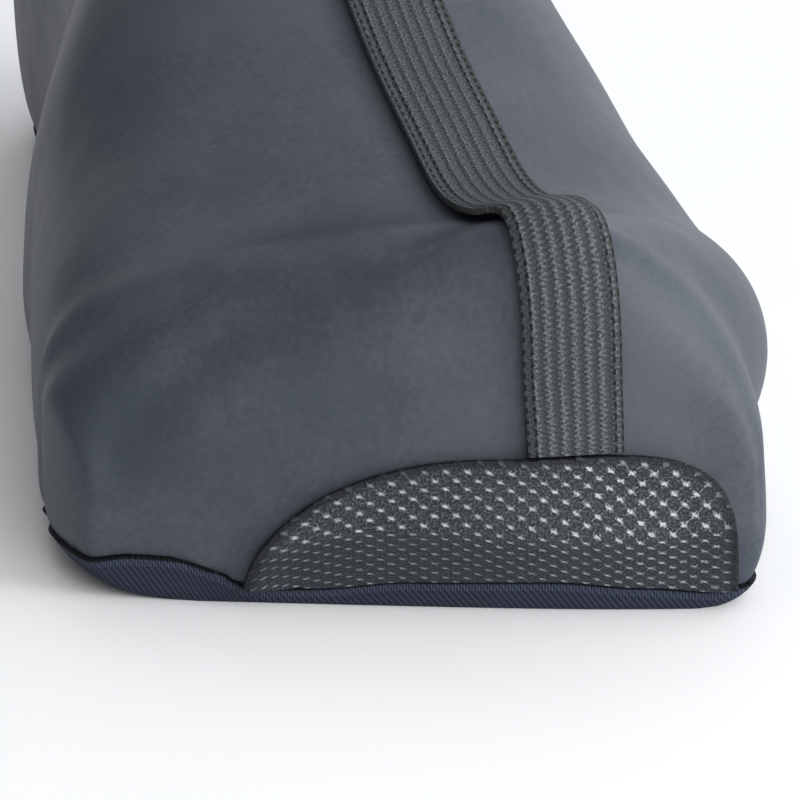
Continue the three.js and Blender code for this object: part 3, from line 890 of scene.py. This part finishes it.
class OVERSHOE_OT_upper(bpy.types.Operator):
    """Builds the coated cloth upper, from the sole seam to the top hem"""

    bl_idname = "overshoe.upper"
    bl_label = "Upper"

    def execute(self, context):
        sizes = context.scene.overshoe_sizes
        bm = skin_mesh(sizes, 0)
        keep_inside(bm, above_seam, sizes)
        material = coated_cloth(context.scene.overshoe_colours)
        piece = finished(bm, "upper_look", sizes, material)
        give_wall(piece, sizes.cloth, EDGE["cloth"])
        return {"FINISHED"}


class OVERSHOE_OT_sole(bpy.types.Operator):
    """Builds the ribbed sole panel and its low side"""

    bl_idname = "overshoe.sole"
    bl_label = "Sole panel"

    def execute(self, context):
        sizes = context.scene.overshoe_sizes
        bm = skin_mesh(sizes, sizes.sole_rim)
        keep_inside(bm, seam_field, sizes)
        add_uv(bm, sole_uv, sizes)
        material = ribbed_fabric(context.scene.overshoe_colours)
        piece = finished(bm, "sole_panel_look", sizes, material)
        give_wall(piece, sizes.cloth + sizes.sole_rim, EDGE["cloth"])
        return {"FINISHED"}


class OVERSHOE_OT_cap(bpy.types.Operator):
    """Builds the mesh toe cap"""

    bl_idname = "overshoe.cap"
    bl_label = "Toe cap"

    def execute(self, context):
        sizes = context.scene.overshoe_sizes
        bm = skin_mesh(sizes, sizes.gap + sizes.cap_thickness)
        keep_inside(bm, cap_field, sizes)
        keep_inside(bm, above_seam, sizes)
        add_uv(bm, cap_uv, sizes)
        add_value(bm, "inside", depth_in_cap, sizes)
        add_value(bm, "above_fold", above_fold, sizes)
        puff(bm, cap_field, CAP["puff"], CAP["puff_reach"], sizes)
        material = honeycomb_mesh(context.scene.overshoe_colours)
        piece = finished(bm, "toe_cap_look", sizes, material)
        give_wall(piece, sizes.cap_thickness, EDGE["cloth"])
        return {"FINISHED"}


class OVERSHOE_OT_tape(bpy.types.Operator):
    """Builds the woven centre tape from the cap to the hem"""

    bl_idname = "overshoe.tape"
    bl_label = "Centre tape"

    def execute(self, context):
        sizes = context.scene.overshoe_sizes
        bm = skin_mesh(sizes, sizes.gap + sizes.tape_thickness)
        keep_inside(bm, tape_field, sizes)
        keep_inside(bm, outside_cap, sizes)
        add_uv(bm, tape_uv, sizes)
        material = woven_tape(context.scene.overshoe_colours)
        piece = finished(bm, "front_tape_look", sizes, material)
        give_wall(piece, sizes.tape_thickness, EDGE["tape"])
        return {"FINISHED"}


class OVERSHOE_OT_stage(bpy.types.Operator):
    """Builds the floor, the soft light and the camera"""

    bl_idname = "overshoe.stage"
    bl_label = "Floor, light and camera"

    def execute(self, context):
        for build in (build_floor, build_sky, build_lights, build_camera):
            build(context.scene)
        return {"FINISHED"}


class OVERSHOE_PT_panel(bpy.types.Panel):
    """Lists the sizes, the colours and the build steps"""

    bl_idname = "OVERSHOE_PT_panel"
    bl_label = "Overshoe"
    bl_space_type = "VIEW_3D"
    bl_region_type = "UI"
    bl_category = "Overshoe"

    def draw(self, context):
        for group in (context.scene.overshoe_sizes, context.scene.overshoe_colours):
            for name in group.__annotations__:
                self.layout.prop(group, name)
        for step in STEPS:
            self.layout.operator(step.bl_idname)


STEPS = (OVERSHOE_OT_stage, OVERSHOE_OT_upper, OVERSHOE_OT_sole, OVERSHOE_OT_cap, OVERSHOE_OT_tape)
CLASSES = (OvershoeSizes, OvershoeColours, *STEPS, OVERSHOE_PT_panel)


def register():
    """Registers the classes and their settings."""
    for item in CLASSES:
        bpy.utils.register_class(item)
    bpy.types.Scene.overshoe_sizes = PointerProperty(type=OvershoeSizes)
    bpy.types.Scene.overshoe_colours = PointerProperty(type=OvershoeColours)


def unregister():
    """Removes the classes and their settings."""
    del bpy.types.Scene.overshoe_colours
    del bpy.types.Scene.overshoe_sizes
    for item in reversed(CLASSES):
        bpy.utils.unregister_class(item)


def main():
    """Builds every piece."""
    register()
    for step in STEPS:
        group, name = step.bl_idname.split(".")
        getattr(getattr(bpy.ops, group), name)()


if __name__ == "__main__":
    main()
